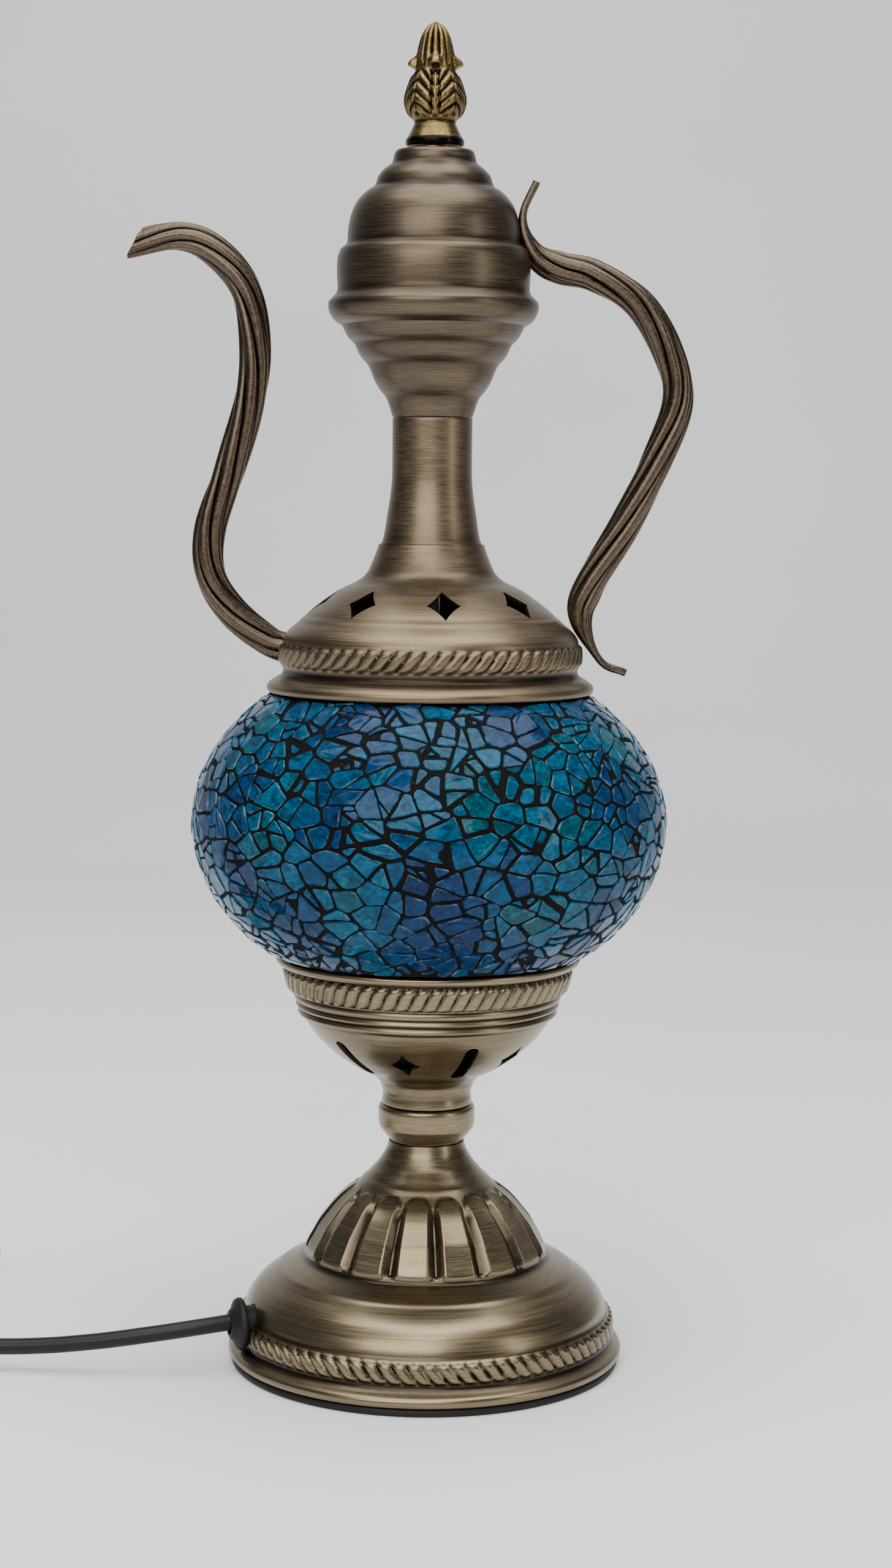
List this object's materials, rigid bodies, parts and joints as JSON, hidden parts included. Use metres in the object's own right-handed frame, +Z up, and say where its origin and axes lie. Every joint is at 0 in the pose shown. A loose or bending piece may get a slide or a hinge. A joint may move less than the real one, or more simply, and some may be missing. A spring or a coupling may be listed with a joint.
{
  "type": "table lamp",
  "caption": "Mosaic glass table lamp shaped as a ewer: fluted brass base, cup and domed top round a blue crackle-glass globe, with twisted spout and handle.",
  "frame": {"origin": "centre of the base pad's underside, on the lamp's axis", "axes": "+Z up the stem, +X towards the handle, -X towards the spout and the cable, -Y towards the front"},
  "size_m": [0.3809, 0.188, 0.4485],
  "materials": {
    "antique_brass": "brushed antique, lacquered",
    "cast_brass": "cast, polished on the high spots",
    "mosaic_glass": "coloured glass shards in dark grout",
    "globe_glass": "clear blown",
    "bulb_glass": "clear",
    "foot_rubber": "matte",
    "cord_pvc": "semi-matte",
    "plug_pvc": "moulded semi-matte",
    "cord_tie": "woven",
    "holder_plastic": "moulded",
    "switch_plastic": "moulded",
    "cast_iron": "rough cast",
    "zinc_steel": "zinc plated",
    "contact_brass": "plain",
    "pin_brass": "nickel plated"
  },
  "bodies": {
    "root": {"base_pad": "foot_rubber", "base_shell": "antique_brass", "ballast_ring": "cast_iron", "base_washer": "zinc_steel", "base_nut": "zinc_steel", "cable_grommet": "foot_rubber", "lamp_pipe": "zinc_steel", "stem_knob": "antique_brass", "cup_shell": "antique_brass", "cup_washer": "zinc_steel", "cup_nut": "zinc_steel", "holder_cap": "holder_plastic", "holder_sleeve": "holder_plastic", "holder_insert": "holder_plastic", "holder_thread": "contact_brass", "holder_contact": "contact_brass", "harp": "zinc_steel", "stud_rod": "zinc_steel", "stud_nut": "zinc_steel", "cord_inner": "cord_pvc", "cord_lead": "cord_pvc", "cord_link": "cord_pvc", "cord_coil": "cord_pvc", "cord_tie": "cord_tie", "cord_tail": "cord_pvc", "switch_base": "switch_plastic", "switch_cover": "switch_plastic", "rocker_pin": "zinc_steel", "switch_contact_in": "contact_brass", "switch_contact_out": "contact_brass", "plug_body": "plug_pvc", "plug_pin_near": "pin_brass", "plug_pin_far": "pin_brass"},
    "globe": {"globe_glass": "globe_glass", "mosaic_skin": "mosaic_glass"},
    "top": {"top_dome": "antique_brass", "neck_tube": "antique_brass", "funnel_shell": "antique_brass", "bell_shell": "antique_brass", "spout": "antique_brass", "handle": "antique_brass"},
    "finial_washer": {"finial_washer": "cast_brass"},
    "finial": {"finial": "cast_brass"},
    "bulb_tip": {"bulb_tip": "contact_brass"},
    "bulb": {"bulb_cap": "contact_brass", "bulb_glass": "bulb_glass"},
    "rocker": {"switch_rocker": "switch_plastic"}
  },
  "joints": [
    {"name": "globe_lift", "type": "slide", "parent": "root", "child": "globe", "axis": [0, 0, 1], "range_m": [0, 0.1]},
    {"name": "top_lift", "type": "slide", "parent": "globe", "child": "top", "axis": [0, 0, 1], "range_m": [0, 0.1]},
    {"name": "finial_rise", "type": "slide", "parent": "top", "child": "finial_washer", "axis": [0, 0, 1], "range_m": [0, 0.009]},
    {"name": "finial_turn", "type": "hinge", "parent": "finial_washer", "child": "finial", "pos_m": [0, 0, 0.42], "axis": [0, 0, 1], "range_deg": [0, 3240]},
    {"name": "bulb_rise", "type": "slide", "parent": "root", "child": "bulb_tip", "axis": [0, 0, 1], "range_m": [0, 0.01974]},
    {"name": "bulb_turn", "type": "hinge", "parent": "bulb_tip", "child": "bulb", "pos_m": [0, 0, 0.15], "axis": [0, 0, 1], "range_deg": [0, 2520]},
    {"name": "rocker_tilt", "type": "hinge", "parent": "root", "child": "rocker", "pos_m": [-0.214, -0.019, 0.0136], "axis": [0, 1, 0], "range_deg": [0, 16]}
  ],
  "couplings": [
    {"joint": "finial_turn", "follows": "finial_rise", "rad_per_m": 6283.2},
    {"joint": "bulb_turn", "follows": "bulb_rise", "rad_per_m": 2228.1}
  ]
}
